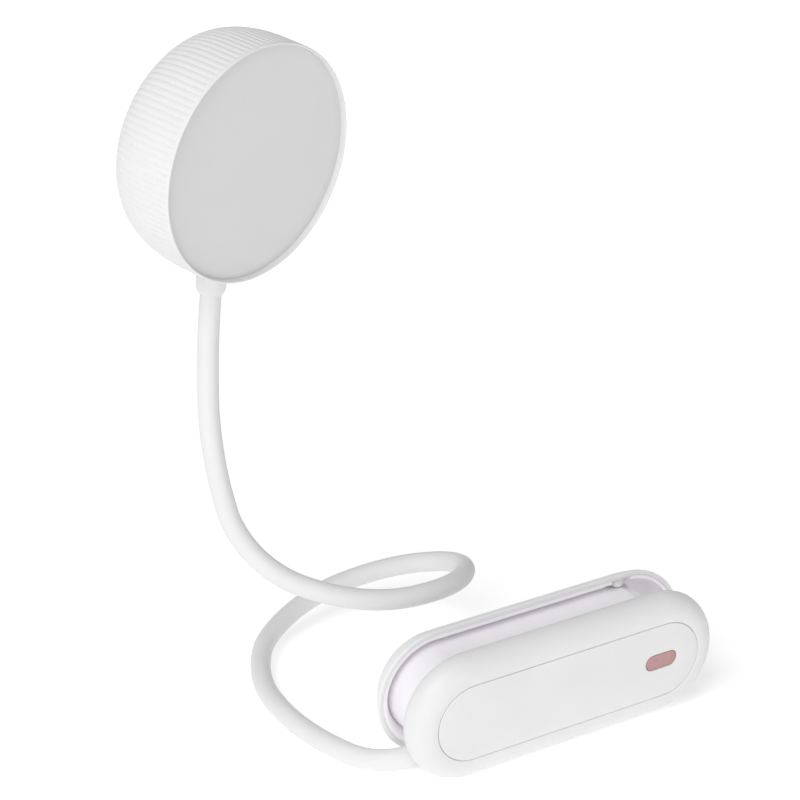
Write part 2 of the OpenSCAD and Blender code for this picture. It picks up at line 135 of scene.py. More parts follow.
def add_camera():
    data = bpy.data.cameras.new("camera")
    data.sensor_width = 36.0
    data.lens = CAMERA_LENS
    camera = bpy.data.objects.new("camera", data)
    camera.location = CAMERA_PLACE
    camera.rotation_euler = (math.pi / 2 - CAMERA_ELEVATION, 0.0, CAMERA_AZIMUTH)
    bpy.context.scene.collection.objects.link(camera)
    bpy.context.scene.camera = camera


# ---- Lines and sections ----

def arc(cx, cy, r, start, stop, steps):
    """Points on an arc, angles in degrees."""
    angles = [math.radians(start + (stop - start) * i / steps) for i in range(steps + 1)]
    return [(cx + r * math.cos(a), cy + r * math.sin(a)) for a in angles]


def oval_ring(half, r, centre, steps):
    """Points (x, z) round a slot shape. half is half the distance between its round ends' centres."""
    ends = [(half, -90.0), (-half, 90.0)]
    return [
        (centre + x, z)
        for side, start in ends
        for x, z in arc(side, 0.0, r, start, start + 180.0, steps)
    ]


# ---- Meshes ----

def finish_piece(bm, name, material, body, replaced=(), sharp=32.0):
    """Turns mesh data into an object that rides on a body."""
    bmesh.ops.remove_doubles(bm, verts=bm.verts, dist=1e-7)
    bmesh.ops.recalc_face_normals(bm, faces=bm.faces)
    if bm.calc_volume(signed=True) < 0.0:
        bmesh.ops.reverse_faces(bm, faces=bm.faces)
    mesh = bpy.data.meshes.new(name)
    bm.to_mesh(mesh)
    bm.free()
    mesh.shade_smooth()
    mesh.set_sharp_from_angle(angle=math.radians(sharp))
    piece = bpy.data.objects.new(name, mesh)
    bpy.context.scene.collection.objects.link(piece)
    mesh.materials.append(material)
    if body:
        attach(piece, body)
    if replaced:
        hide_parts(*replaced)
    return piece


def from_front(x, z, depth):
    return Vector((x * MM, FRONT_Y + depth * MM, z * MM))


def add_rings(bm, rings, closed=True):
    """Joins rings of equal length with quads. Returns the rings' vertices."""
    loops = [[bm.verts.new(point) for point in ring] for ring in rings]
    for low, high in zip(loops, loops[1:]):
        count = len(low)
        for i in range(count if closed else count - 1):
            j = (i + 1) % count
            bm.faces.new((low[i], low[j], high[j], high[i]))
    return loops


def fill_flat(bm, *loops):
    """Fills the flat area between an outer loop and the loops of any holes."""
    edges = []
    for loop in loops:
        for i, vert in enumerate(loop):
            other = loop[(i + 1) % len(loop)]
            edges.append(bm.edges.get((vert, other)) or bm.edges.new((vert, other)))
    bmesh.ops.triangle_fill(bm, use_beauty=True, edges=edges)


def oval_solid(bm, half, section, centre=0.0, holes=(), steps=32):
    """Sweeps (radius, depth) points round a slot shape and closes the front and the back."""
    loops = add_rings(bm, [
        [from_front(x, z, depth) for x, z in oval_ring(half, r, centre, steps)]
        for r, depth in section
    ])
    fronts, backs = [loops[0]], [loops[-1]]
    for hole_half, hole_centre, hole_section in holes:
        inner = add_rings(bm, [
            [from_front(x, z, depth) for x, z in oval_ring(hole_half, r, hole_centre, 12)]
            for r, depth in hole_section
        ])
        fronts.append(inner[0])
        backs.append(inner[-1])
    fill_flat(bm, *fronts)
    fill_flat(bm, *backs)
    return loops


def lathe(bm, section, columns, place):
    """Turns (radius, height) points about an axis. place(radius, angle, height) gives the point."""
    rings = [
        [place(r, 2 * math.pi * i / columns, h) for i in range(columns)]
        for r, h in section if r > 0
    ]
    loops = add_rings(bm, rings)
    for (r, h), loop in ((section[0], loops[0]), (section[-1], loops[-1])):
        if r == 0:
            tip = bm.verts.new(place(0.0, 0.0, h))
            for i in range(columns):
                bm.faces.new((tip, loop[i], loop[(i + 1) % columns]))
    return loops


def make_cutter(bm, name):
    """A plain object from mesh data, for cut to use up."""
    bmesh.ops.recalc_face_normals(bm, faces=bm.faces)
    mesh = bpy.data.meshes.new(name)
    bm.to_mesh(mesh)
    bm.free()
    cutter = bpy.data.objects.new(name, mesh)
    bpy.context.scene.collection.objects.link(cutter)
    return cutter


def cut(piece, cutter, solver="EXACT"):
    """Cuts one mesh out of another and removes the cutter."""
    modifier = piece.modifiers.new("cut", "BOOLEAN")
    modifier.operation = "DIFFERENCE"
    modifier.solver = solver
    modifier.object = cutter
    bpy.context.view_layer.update()
    graph = bpy.context.evaluated_depsgraph_get()
    mesh = bpy.data.meshes.new_from_object(piece.evaluated_get(graph))
    piece.modifiers.clear()
    old = piece.data
    name = old.name
    piece.data = mesh
    bpy.data.meshes.remove(old)
    mesh.name = name
    mesh.shade_smooth()
    mesh.set_sharp_from_angle(angle=math.radians(32.0))
    bpy.data.objects.remove(cutter)


# ---- Materials ----

def new_material(name, colour, roughness, specular=0.5, coat=0.0, metallic=0.0):
    material = bpy.data.materials.new(name)
    material.use_nodes = True
    nodes = material.node_tree.nodes
    shader = nodes["Principled BSDF"]
    shader.inputs["Base Color"].default_value = (*colour, 1.0)
    shader.inputs["Roughness"].default_value = roughness
    shader.inputs["Specular IOR Level"].default_value = specular
    shader.inputs["Coat Weight"].default_value = coat
    shader.inputs["Coat Roughness"].default_value = 0.25
    shader.inputs["Metallic"].default_value = metallic
    return material, nodes, material.node_tree.links, shader


def noise(nodes, links, scale, detail=3.0, rough=0.55, stretch=None):
    """A noise texture in object space. stretch scales its axes."""
    place = nodes.new("ShaderNodeTexCoord")
    texture = nodes.new("ShaderNodeTexNoise")
    texture.inputs["Scale"].default_value = scale
    texture.inputs["Detail"].default_value = detail
    texture.inputs["Roughness"].default_value = rough
    if stretch:
        mapping = nodes.new("ShaderNodeMapping")
        mapping.inputs["Scale"].default_value = stretch
        links.new(place.outputs["Object"], mapping.inputs["Vector"])
        links.new(mapping.outputs["Vector"], texture.inputs["Vector"])
    else:
        links.new(place.outputs["Object"], texture.inputs["Vector"])
    return texture


def spread(nodes, links, source, low, high, start=0.3, stop=0.7):
    """Maps a 0 to 1 value onto a range."""
    ranger = nodes.new("ShaderNodeMapRange")
    ranger.inputs["From Min"].default_value = start
    ranger.inputs["From Max"].default_value = stop
    ranger.inputs["To Min"].default_value = low
    ranger.inputs["To Max"].default_value = high
    links.new(source, ranger.inputs["Value"])
    return ranger.outputs["Result"]


def blend_colours(nodes, links, factor, first, second):
    mix = nodes.new("ShaderNodeMix")
    mix.data_type = "RGBA"
    for socket, colour in ((mix.inputs[6], first), (mix.inputs[7], second)):
        if isinstance(colour, tuple):
            socket.default_value = (*colour, 1.0)
        else:
            links.new(colour, socket)
    links.new(factor, mix.inputs[0])
    return mix.outputs[2]


def add_bump(nodes, links, shader, layers):
    """layers: (height output, distance in metres, strength), coarse first."""
    normal = None
    for height, distance, strength in layers:
        bump = nodes.new("ShaderNodeBump")
        bump.inputs["Distance"].default_value = distance
        bump.inputs["Strength"].default_value = strength
        links.new(height, bump.inputs["Height"])
        if normal:
            links.new(normal, bump.inputs["Normal"])
        normal = bump.outputs["Normal"]
    links.new(normal, shader.inputs["Normal"])


def moulded(name, colour, shade, roughness, grain=0.00035, relief=0.000012, specular=0.45, painted_glow=0.0):
    """Moulded plastic or rubber: faint clouding, a fine spark-eroded grain, uneven gloss.

    Any glow given adds painted light: an emission in the base colour that brightens the part where it lies in
    shade, standing in for light passed through a milky wall.
    """
    material, nodes, links, shader = new_material(name, colour, roughness, specular)
    cloud = noise(nodes, links, 55.0, 4.0)
    fleck = noise(nodes, links, 1.0 / grain, 2.0)
    pits = noise(nodes, links, 260.0, 3.0, 0.7)
    clouded = blend_colours(nodes, links, spread(nodes, links, cloud.outputs["Fac"], 0.0, 1.0), colour, shade)
    edge = nodes.new("ShaderNodeNewGeometry")
    worn = tuple(min(1.0, c * 1.04) for c in colour)
    rubbed = blend_colours(
        nodes, links, spread(nodes, links, edge.outputs["Pointiness"], 0.0, 0.5, 0.52, 0.62), clouded, worn
    )
    links.new(rubbed, shader.inputs["Base Color"])
    # Painted light: emission in the base colour brightens the part where it lies in shade.
    if painted_glow > 0.0:
        links.new(rubbed, shader.inputs["Emission Color"])
        shader.inputs["Emission Strength"].default_value = painted_glow
    gloss = spread(nodes, links, pits.outputs["Fac"], roughness - 0.05, roughness + 0.06)
    links.new(gloss, shader.inputs["Roughness"])
    add_bump(nodes, links, shader, [
        (pits.outputs["Fac"], 0.00003, 0.25),
        (fleck.outputs["Fac"], relief, 0.5),
    ])
    return material


def metal(name, colour, roughness, brushed=(1.0, 1.0, 12.0)):
    """Plain metal with fine drawing lines."""
    material, nodes, links, shader = new_material(name, colour, roughness, metallic=1.0)
    lines = noise(nodes, links, 900.0, 3.0, 0.6, brushed)
    links.new(
        spread(nodes, links, lines.outputs["Fac"], roughness - 0.08, roughness + 0.12),
        shader.inputs["Roughness"],
    )
    tint = tuple(c * 0.86 for c in colour)
    links.new(
        blend_colours(nodes, links, spread(nodes, links, lines.outputs["Fac"], 0.0, 1.0), colour, tint),
        shader.inputs["Base Color"],
    )
    add_bump(nodes, links, shader, [(lines.outputs["Fac"], 0.00001, 0.4)])
    return material


def dress(material, *names):
    """Gives CAD nodes that stay visible their material."""
    for name in names:
        node = frame["nodes"][name]
        if not node.material_slots:
            node.data.materials.append(material)
        for material_slot in node.material_slots:
            material_slot.material = material


def diffuser_material():
    """Frosted acrylic: even grey when unlit, faint mottling and a soft sheen."""
    darker, lighter = (0.68, 0.68, 0.68), (0.70, 0.70, 0.70)
    material, nodes, links, shader = new_material("frosted_acrylic", darker, 0.42, 0.4)
    mottle = noise(nodes, links, 38.0, 5.0, 0.6)
    frost = noise(nodes, links, 5200.0, 2.0)
    patches = spread(nodes, links, mottle.outputs["Fac"], 0.0, 1.0)
    links.new(blend_colours(nodes, links, patches, darker, lighter), shader.inputs["Base Color"])
    links.new(spread(nodes, links, mottle.outputs["Fac"], 0.38, 0.47), shader.inputs["Roughness"])
    add_bump(nodes, links, shader, [(frost.outputs["Fac"], 0.000008, 0.5)])
    return material


def button_material():
    """Tinted clear cap over a coloured light guide: rose, warmer towards the tail."""
    rose, warm_rose, pale_rose = (0.47, 0.25, 0.255), (0.47, 0.2, 0.16), (0.42, 0.27, 0.27)
    material, nodes, links, shader = new_material("rose_cap", rose, 0.32, 0.5, coat=0.25)
    place = nodes.new("ShaderNodeTexCoord")
    parts = nodes.new("ShaderNodeSeparateXYZ")
    links.new(place.outputs["Object"], parts.inputs["Vector"])
    along = spread(nodes, links, parts.outputs["X"], 0.0, 1.0, (BUTTON_X + 3.2) * MM, (BUTTON_X + 5.6) * MM)
    body = blend_colours(nodes, links, along, rose, warm_rose)
    cloud = noise(nodes, links, 420.0, 3.0)
    patches = spread(nodes, links, cloud.outputs["Fac"], 0.0, 0.35)
    links.new(blend_colours(nodes, links, patches, body, pale_rose), shader.inputs["Base Color"])
    grain = noise(nodes, links, 3600.0, 2.0)
    links.new(spread(nodes, links, cloud.outputs["Fac"], 0.27, 0.38), shader.inputs["Roughness"])
    add_bump(nodes, links, shader, [(grain.outputs["Fac"], 0.000006, 0.4)])
    return material


def board_material():
    """Circuit board: solder mask with the weave of the glass cloth under it."""
    mask, over_thread = (0.03, 0.16, 0.07), (0.04, 0.21, 0.09)
    material, nodes, links, shader = new_material("solder_mask", mask, 0.3, 0.5, coat=0.3)
    cloth = nodes.new("ShaderNodeTexWave")
    cloth.inputs["Scale"].default_value = 380.0
    cloth.inputs["Distortion"].default_value = 0.6
    place = nodes.new("ShaderNodeTexCoord")
    links.new(place.outputs["Object"], cloth.inputs["Vector"])
    tone = blend_colours(nodes, links, cloth.outputs["Fac"], mask, over_thread)
    links.new(tone, shader.inputs["Base Color"])
    add_bump(nodes, links, shader, [(cloth.outputs["Fac"], 0.00002, 0.3)])
    return material


def floor_material():
    """Pale studio sweep, faintly uneven, with a little light of its own like a backlit sheet."""
    darker, lighter = (0.93, 0.93, 0.93), (0.945, 0.945, 0.945)
    material, nodes, links, shader = new_material("pale_sweep", darker, 0.9, 0.1)
    cloud = noise(nodes, links, 3.0, 3.0)
    patches = spread(nodes, links, cloud.outputs["Fac"], 0.0, 1.0)
    tone = blend_colours(nodes, links, patches, darker, lighter)
    links.new(tone, shader.inputs["Base Color"])
    links.new(tone, shader.inputs["Emission Color"])
    shader.inputs["Emission Strength"].default_value = 0.36
    return material


SHELL = moulded("white_abs", (0.775, 0.775, 0.777), (0.75, 0.75, 0.757), 0.42)
# Painted light: the jaw is the same white plastic as the housing, given a lighter colour so that it reads
# brighter.
JAW_ABS_PAINTED_LIGHTER = moulded("white_abs_jaw_painted_lighter", (0.86, 0.86, 0.862), (0.84, 0.84, 0.845), 0.42)
DRUM = moulded("white_abs_head", (0.775, 0.775, 0.775), (0.755, 0.755, 0.755), 0.4)
SLEEVE = moulded("white_silicone_sleeve", (0.775, 0.775, 0.773), (0.755, 0.755, 0.753), 0.5, 0.0005)
BOOT = moulded("pale_silicone", (0.89, 0.878, 0.902), (0.86, 0.845, 0.875), 0.56, 0.0004, 0.000016)
# The lining's glow is painted light, brightening its shaded groove between the boot and the jaw's rim.
LINING = moulded(
    "lilac_silicone_painted_glow", (0.92, 0.885, 0.925), (0.90, 0.86, 0.905), 0.56, 0.0004, 0.000016, painted_glow=0.12
)
ROSE = button_material()
FROST = diffuser_material()
STEEL = metal("drawn_steel", (0.62, 0.61, 0.60), 0.28)
SPRING = metal("spring_wire", (0.58, 0.58, 0.59), 0.24)
BOARD = board_material()
WRAP = moulded("battery_wrap", (0.30, 0.36, 0.45), (0.26, 0.31, 0.40), 0.3)
PHOSPHOR = moulded("led_phosphor", (0.80, 0.66, 0.22), (0.74, 0.60, 0.18), 0.35)
FLOOR = floor_material()


# ---- Clip ----

def build_front_shell():
    """Front housing: deep rounded bezel, recess for the panel, hollow behind."""
    recess_r = PANEL_R + PANEL_SEAM
    recess_depth = PANEL_T + 0.05
    edge = 0.4
    mouth_r = 17.05
    wall_r = CLIP_R - 2.7
    ledge = SHELL_DEPTH - 1.5
    floor_depth = 2.9
    section = (
        [(recess_r, recess_depth), (recess_r, edge)]
        + arc(recess_r + edge, edge, edge, 180, 270, 6)
        + arc(CLIP_R - BEZEL_ROUND, BEZEL_ROUND, BEZEL_ROUND, -90, 0, 28)
        + arc(CLIP_R - SHELL_BACK_ROUND, SHELL_DEPTH - SHELL_BACK_ROUND, SHELL_BACK_ROUND, 0, 90, 18)
        + [(mouth_r + 0.25, SHELL_DEPTH), (mouth_r, SHELL_DEPTH - 0.25), (mouth_r, ledge)]
        + [(wall_r, ledge), (wall_r, floor_depth)]
    )
    slot_r = BUTTON_R + 0.3
    slot = [(slot_r, recess_depth), (slot_r, floor_depth)]
    bm = bmesh.new()
    oval_solid(bm, END_X, section, holes=[(BUTTON_HALF, BUTTON_X, slot)])
    piece = finish_piece(bm, "front_housing", SHELL, "base", ["front_shell"])
    # The mouth of the charging inlet runs along X, so its ring lies in the plane of depth and z
    inlet_r = 1.75
    bm = bmesh.new()
    mouth = oval_ring(INLET_HALF, inlet_r, 0.0, 10)
    loops = add_rings(bm, [[from_front(x, z, INLET_DEPTH + d) for z, d in mouth] for x in (54.0, 62.0)])
    for loop in loops:
        bm.faces.new(loop)
    cut(piece, make_cutter(bm, "inlet_cutter"))


def build_front_panel():
    """Flat cover let into the housing, with softened edges round its rim and the button's slot."""
    edge = 0.25
    section = arc(PANEL_R - edge, edge, edge, -90, 0, 4) + [(PANEL_R, PANEL_T)]
    slot_r = BUTTON_R + 0.15
    rim = 0.5
    slot_section = arc(slot_r + rim, rim, rim, 270, 180, 5) + [(slot_r, PANEL_T)]
    bm = bmesh.new()
    oval_solid(bm, END_X, section, holes=[(BUTTON_HALF, BUTTON_X, slot_section)])
    finish_piece(bm, "front_cover", SHELL, "base", ["front_panel"])


def build_button():
    """Rose cap with a slightly dished face and a flange behind the panel."""
    face = 0.3
    edge = 0.35
    section = (
        [(BUTTON_R - 1.4, face + 0.12), (BUTTON_R - 0.8, face + 0.05), (BUTTON_R - edge, face)]
        + arc(BUTTON_R - edge, face + edge, edge, -90, 0, 6)[1:]
        + [(BUTTON_R, FLANGE_DEPTH), (BUTTON_R + 0.9, FLANGE_DEPTH), (BUTTON_R + 0.9, FLANGE_DEPTH + 1.0)]
    )
    bm = bmesh.new()
    oval_solid(bm, BUTTON_HALF, section, centre=BUTTON_X, steps=20)
    finish_piece(bm, "power_cap", ROSE, "button", ["power_button"], 50.0)


def build_jaw():
    """Rear jaw: a shallow bowl that slopes in behind its rim, and two lugs for the hinge pin."""
    lip = 0.25
    section = (
        arc(*JAW_BACK_AT, JAW_BACK_R, 90, JAW_SLOPE, 16)
        + arc(*JAW_EDGE_AT, JAW_EDGE_R, JAW_SLOPE, 3, 12)
        + arc(CLIP_R - lip, RIM_DEPTH + lip, lip, 0, -90, 4)
        + arc(CLIP_R - JAW_WALL + lip, RIM_DEPTH + lip, lip, -90, -180, 4)
        + arc(*JAW_EDGE_AT, JAW_EDGE_R - JAW_WALL, 4, JAW_SLOPE, 8)
        + arc(*JAW_BACK_AT, JAW_BACK_R - JAW_WALL, JAW_SLOPE, 90, 12)
    )
    bm = bmesh.new()
    oval_solid(bm, END_X, section)
    for side in (-1, 1):
        add_lug(bm, side)
    finish_piece(bm, "back_jaw", JAW_ABS_PAINTED_LIGHTER, "jaw", ["rear_jaw"])


def add_lug(bm, side, steps=14):
    """A lug with a round front round the hinge pin's bore, running back into the jaw's wall."""
    lug_r, bore_r, foot, reach = 2.0, 1.3, 3.2, 1.5
    heights = [side * h for h in LUG_HEIGHTS]
    outer = [
        (PIN_X + x, PIN_DEPTH + d)
        for x, d in [(-foot, reach), (-foot, 0.4), (-lug_r, 0.0)] + arc(0, 0, lug_r, 180, 360, steps)[1:-1]
        + [(lug_r, 0.0), (foot, 0.4), (foot, reach)]
    ]
    bore = [(PIN_X + x, PIN_DEPTH + d) for x, d in arc(0, 0, bore_r, 0, 360, 24)[:-1]]
    outer_loops = add_rings(bm, [[from_front(x, h, d) for x, d in outer] for h in heights])
    bore_loops = add_rings(bm, [[from_front(x, h, d) for x, d in bore] for h in heights])
    for k in range(2):
        fill_flat(bm, outer_loops[k], bore_loops[k])


def build_liner():
    """Soft lining inside the jaw: a cushion round the boot, thin round the hinge, notched for the lugs."""
    gap = JAW_WALL + 0.05
    back = (
        arc(*JAW_BACK_AT, JAW_BACK_R - gap, 90, JAW_SLOPE, 12)
        + arc(*JAW_EDGE_AT, JAW_EDGE_R - gap, JAW_SLOPE, 6, 8)
        + [(20.12, 23.12), (20.0, 23.0), (19.2, 23.0)]
    )
    sloping_lip = [(19.0, 23.1), (18.55, 23.5), (18.0, 24.1), (17.5, 24.8), (17.1, 25.5), (16.8, 26.2)]
    cushion = sloping_lip + arc(*JAW_BACK_AT, CUSHION_R, 14, 90, 14)
    thin_edge_r = 1.85
    thin = arc(*JAW_EDGE_AT, thin_edge_r, 8, JAW_SLOPE, 6)
    thin += arc(*JAW_BACK_AT, CUSHION_R, JAW_SLOPE, 90, 13)
    thin_from = CUSHION_END + 2.5
    half_turn = [180 * i / 48 for i in range(49)]
    turn = [(-END_X, 90 + angle, cushion) for angle in half_turn]
    turn += [(CUSHION_END, 270, cushion), (thin_from, 270, thin)]
    turn += [(END_X, 270 + angle, thin) for angle in half_turn]
    turn += [(thin_from, 90, thin), (CUSHION_END, 90, cushion)]
    bm = bmesh.new()
    rings = []
    for x, angle, inner in turn:
        a = math.radians(angle)
        ring = [from_front(x + r * math.cos(a), r * math.sin(a), depth) for r, depth in back + inner]
        rings.append(ring)
    loops = add_rings(bm, rings, closed=False)
    for i in range(len(loops[0]) - 1):
        bm.faces.new((loops[-1][i], loops[-1][i + 1], loops[0][i + 1], loops[0][i]))
    for end in (0, -1):
        fill_flat(bm, [loop[end] for loop in loops])
    piece = finish_piece(bm, "jaw_lining", LINING, "jaw", ["jaw_liner"])
    for side in (-1, 1):
        bm = bmesh.new()
        bmesh.ops.create_cube(bm, size=1.0)
        centre = from_front(PIN_X, side * NOTCH_HEIGHT, PIN_DEPTH + 0.25)
        for vert in bm.verts:
            vert.co = Vector([c * s * MM for c, s in zip(vert.co, NOTCH_SIZE)]) + centre
        cut(piece, make_cutter(bm, "notch"), "FAST")


def build_pad():
    """Soft boot over the core, open towards the hinge."""
    inner_r = 14.86
    edge = 0.3
    section = (
        arc(*JAW_BACK_AT, PAD_ROUND, 90, 0, 18)
        + arc(PAD_R - edge, PAD_FRONT + edge, edge, 0, -90, 4)
        + [(15.1, PAD_FRONT), (inner_r, PAD_FRONT + 0.2), (inner_r, 28.05)]
    )
    bm = bmesh.new()
    rings = []
    for r, depth in section:
        outline = [(PAD_END_X, r)] + arc(-END_X, 0.0, r, 90, 270, 40) + [(PAD_END_X, -r)]
        rings.append([from_front(x, z, depth) for x, z in outline])
    loops = add_rings(bm, rings, closed=False)
    faces = [
        bm.faces.new(loops[0]),
        bm.faces.new(loops[-1]),
        bm.faces.new([loop[0] for loop in loops] + [loop[-1] for loop in reversed(loops)]),
    ]
    bmesh.ops.triangulate(bm, faces=faces, ngon_method="EAR_CLIP")
    finish_piece(bm, "core_boot", BOOT, "base", ["clip_pad"])


# ---- Neck ----

def arc_through(a, b, c, steps=36):
    """Points on the arc from a through b to c."""
    u, v = b - a, c - a
    n = u.cross(v)
    centre = a + (n.cross(u) * v.dot(v) + v.cross(n) * u.dot(u)) / (2 * n.dot(n))
    x = (a - centre).normalized()
    y = n.normalized().cross(x)
    radius = (a - centre).length
    sweep = math.atan2((c - centre).dot(y), (c - centre).dot(x))
    angles = [sweep * i / steps for i in range(steps + 1)]
    return [centre + radius * (math.cos(t) * x + math.sin(t) * y) for t in angles]


def head_place(x, depth, z):
    """A point in the head's own axes, in millimetres from the centre of its face."""
    turn = Matrix.Rotation(HEAD_YAW, 3, "Z") @ Matrix.Rotation(HEAD_PITCH, 3, "X")
    pivot = Vector(JOINTS["head_tilt"]["pos_m"])
    return pivot + turn @ Vector((x, depth - COLLAR_DEPTH, z + COLLAR_DROP)) * MM


def neck_path():
    """The neck's centre line from inside the gland to inside the collar, and its turning points."""
    joints = [Vector(JOINTS[f"neck_bend_{k}"]["pos_m"]) for k in range(1, NECK_LINKS + 1)]
    joints.append(Vector(JOINTS["head_tilt"]["pos_m"]))
    middles = [Vector(m) * MM for m in NECK_MIDDLES]
    points = []
    gland = Vector(GLAND_START) * MM
    points += [gland + (joints[0] - gland) * i / 4 for i in range(1, 4)]
    for k in range(NECK_LINKS):
        points += arc_through(joints[k], middles[k], joints[k + 1])[:-1]
    collar_up = head_place(0, COLLAR_DEPTH, -HEAD_R) - joints[-1]
    collar_up.normalize()
    points += [joints[-1] + collar_up * (i * MM) for i in range(0, 6)]
    return resample(np.array([tuple(p) for p in points])), joints, middles


def resample(points, step=0.8 * MM, passes=5):
    """Even steps along a line, with its small kinks smoothed out."""
    lengths = np.concatenate([[0.0], np.cumsum(np.linalg.norm(np.diff(points, axis=0), axis=1))])
    even = np.linspace(0.0, lengths[-1], int(lengths[-1] / step) + 1)
    line = np.stack([np.interp(even, lengths, points[:, axis]) for axis in range(3)], axis=1)
    for _ in range(passes):
        inner = 0.25 * line[:-2] + 0.5 * line[1:-1] + 0.25 * line[2:]
        line = np.concatenate([line[:1], inner, line[-1:]])
    return line


def carried_frames(line):
    """Tangents and a side direction that turns as little as possible along the line."""
    tangents = np.gradient(line, axis=0)
    tangents /= np.linalg.norm(tangents, axis=1)[:, None]
    side = np.cross(tangents[0], (0.0, 0.0, 1.0))
    sides = []
    for tangent in tangents:
        side = side - tangent * side.dot(tangent)
        side = side / np.linalg.norm(side)
        sides.append(side)
    return tangents, np.array(sides)


def build_sleeves(columns=40):
    """Continuous sleeve, in pieces that each cross one joint and meet mid-stretch."""
    line, joints, middles = neck_path()
    tangents, sides = carried_frames(line)
    cuts = [0] + [int(np.argmin(np.linalg.norm(line - np.array(m), axis=1))) for m in middles]
    cuts.append(len(line) - 1)
    around = [2 * math.pi * i / columns for i in range(columns)]
    for k, (start, stop) in enumerate(zip(cuts, cuts[1:])):
        bm = bmesh.new()
        rings = []
        normals = []
        for i in range(start, stop + 1):
            across = np.cross(tangents[i], sides[i])
            spokes = [math.cos(a) * sides[i] + math.sin(a) * across for a in around]
            rings.append([Vector(line[i] + SLEEVE_R * MM * spoke) for spoke in spokes])
            normals += [tuple(spoke) for spoke in spokes]
        loops = add_rings(bm, rings)
        bm.faces.new(loops[0])
        bm.faces.new(loops[-1])
        replaced = [f"neck_sleeve_{min(k + 1, NECK_LINKS)}"]
        piece = finish_piece(bm, f"sleeve_{k + 1}", SLEEVE, None, replaced, 60.0)
        piece.data.normals_split_custom_set_from_vertices(normals)
        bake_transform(piece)


# ---- Head ----

RIBS = 112
RIB_SAMPLES = 8
RIB_DEPTH = 0.27
BACK_ROUND = 7.2            # how far the drum's rear edge rounds in
BACK_ROUND_FROM = 10.5
DRUM_WALL = 1.6
SEAT_R = 35.45              # the ledge behind the diffuser
SEAT_DEPTH = 3.25


def rib(angle):
    """How far the ribbed side lies below its crest, from 0 to 1: round ribs, sharp valleys."""
    phase = (RIBS * angle / (2 * math.pi)) % 1.0 - 0.5
    edge = 1.0 - math.sqrt(1.0 - 0.9 ** 2)
    return (1.0 - math.sqrt(1.0 - (1.8 * phase) ** 2)) / edge


def back_round(t, wall=0.0):
    """A point (radius, depth) on the drum's rounded rear edge, or on the wall's inner face."""
    radius = HEAD_R - wall - BACK_ROUND * (1 - math.cos(t))
    return radius, BACK_ROUND_FROM + (HEAD_DEPTH - wall - BACK_ROUND_FROM) * math.sin(t)


def build_drum():
    """Round head: smooth lip, fine ribs along the side that fade out on the rounded back."""
    columns = RIBS * RIB_SAMPLES
    lip_in, lip_out = HEAD_R - 1.05, HEAD_R - 0.12
    section = [(SEAT_R, SEAT_DEPTH, 0.0), (lip_in, SEAT_DEPTH, 0.0), (lip_in, 1.6, 0.0)]
    section += [(r, d, 0.0) for r, d in arc(lip_in + 0.5, 0.2, 0.2, 195, 270, 3)]
    section += [(r, d, 0.0) for r, d in arc(lip_out - 0.35, 0.35, 0.35, -90, 0, 5)]
    section += [(lip_out, 0.75, 0.0), (HEAD_R - 0.1, 1.0, 0.35), (HEAD_R, 1.4, 0.9)]
    section += [(HEAD_R, d, 1.0) for d in (2.0, 4.0, 7.0, BACK_ROUND_FROM)]
    back_steps = 18
    for i in range(1, back_steps + 1):
        fade = min(1.0, (back_steps - i) / 5.0)
        section.append((*back_round(math.radians(90.0 * i / back_steps)), fade))
    section += [(24.0, HEAD_DEPTH, 0.0), (12.0, HEAD_DEPTH, 0.0)]
    inner_back = HEAD_DEPTH - DRUM_WALL
    inside = [(20.0, inner_back), (29.7, inner_back)]
    inside += [back_round(t, DRUM_WALL) for t in (1.35, 1.1, 0.85)]
    inside += [(SEAT_R, 18.0), (SEAT_R, 10.0)]
    bm = bmesh.new()
    outer = head_rings(bm, section, columns)
    inner = head_rings(bm, [(r, d, 0.0) for r, d in inside], columns)
    for loop, depth in ((outer[-1], HEAD_DEPTH), (inner[0], inner_back)):
        tip = bm.verts.new(head_place(0.0, depth, 0.0))
        for i in range(columns):
            bm.faces.new((tip, loop[i], loop[(i + 1) % columns]))
    for i in range(columns):
        j = (i + 1) % columns
        bm.faces.new((inner[-1][i], inner[-1][j], outer[0][j], outer[0][i]))
    finish_piece(bm, "ribbed_drum", DRUM, "head", ["head_shell"], 30.0)


def head_rings(bm, section, columns):
    rings = []
    for r, depth, ribbed in section:
        ring = []
        for i in range(columns):
            angle = 2 * math.pi * i / columns
            radius = r - RIB_DEPTH * ribbed * rib(angle)
            ring.append(head_place(radius * math.cos(angle), depth, radius * math.sin(angle)))
        rings.append(ring)
    return add_rings(bm, rings)


def build_diffuser():
    """Frosted disc with a softened edge."""
    edge_r = 37.43
    face = 1.75
    back = 3.24
    section = [(r, face) for r in (0.0, 12.0, 24.0, 34.0)]
    section += arc(edge_r - 0.05, face + 0.05, 0.05, -90, 0, 2)
    section += [(r, back) for r in (edge_r, 20.0, 0.0)]
    bm = bmesh.new()
    lathe(bm, section, 160, lambda r, a, d: head_place(r * math.cos(a), d, r * math.sin(a)))
    finish_piece(bm, "frosted_disc", FROST, "head", ["diffuser"])


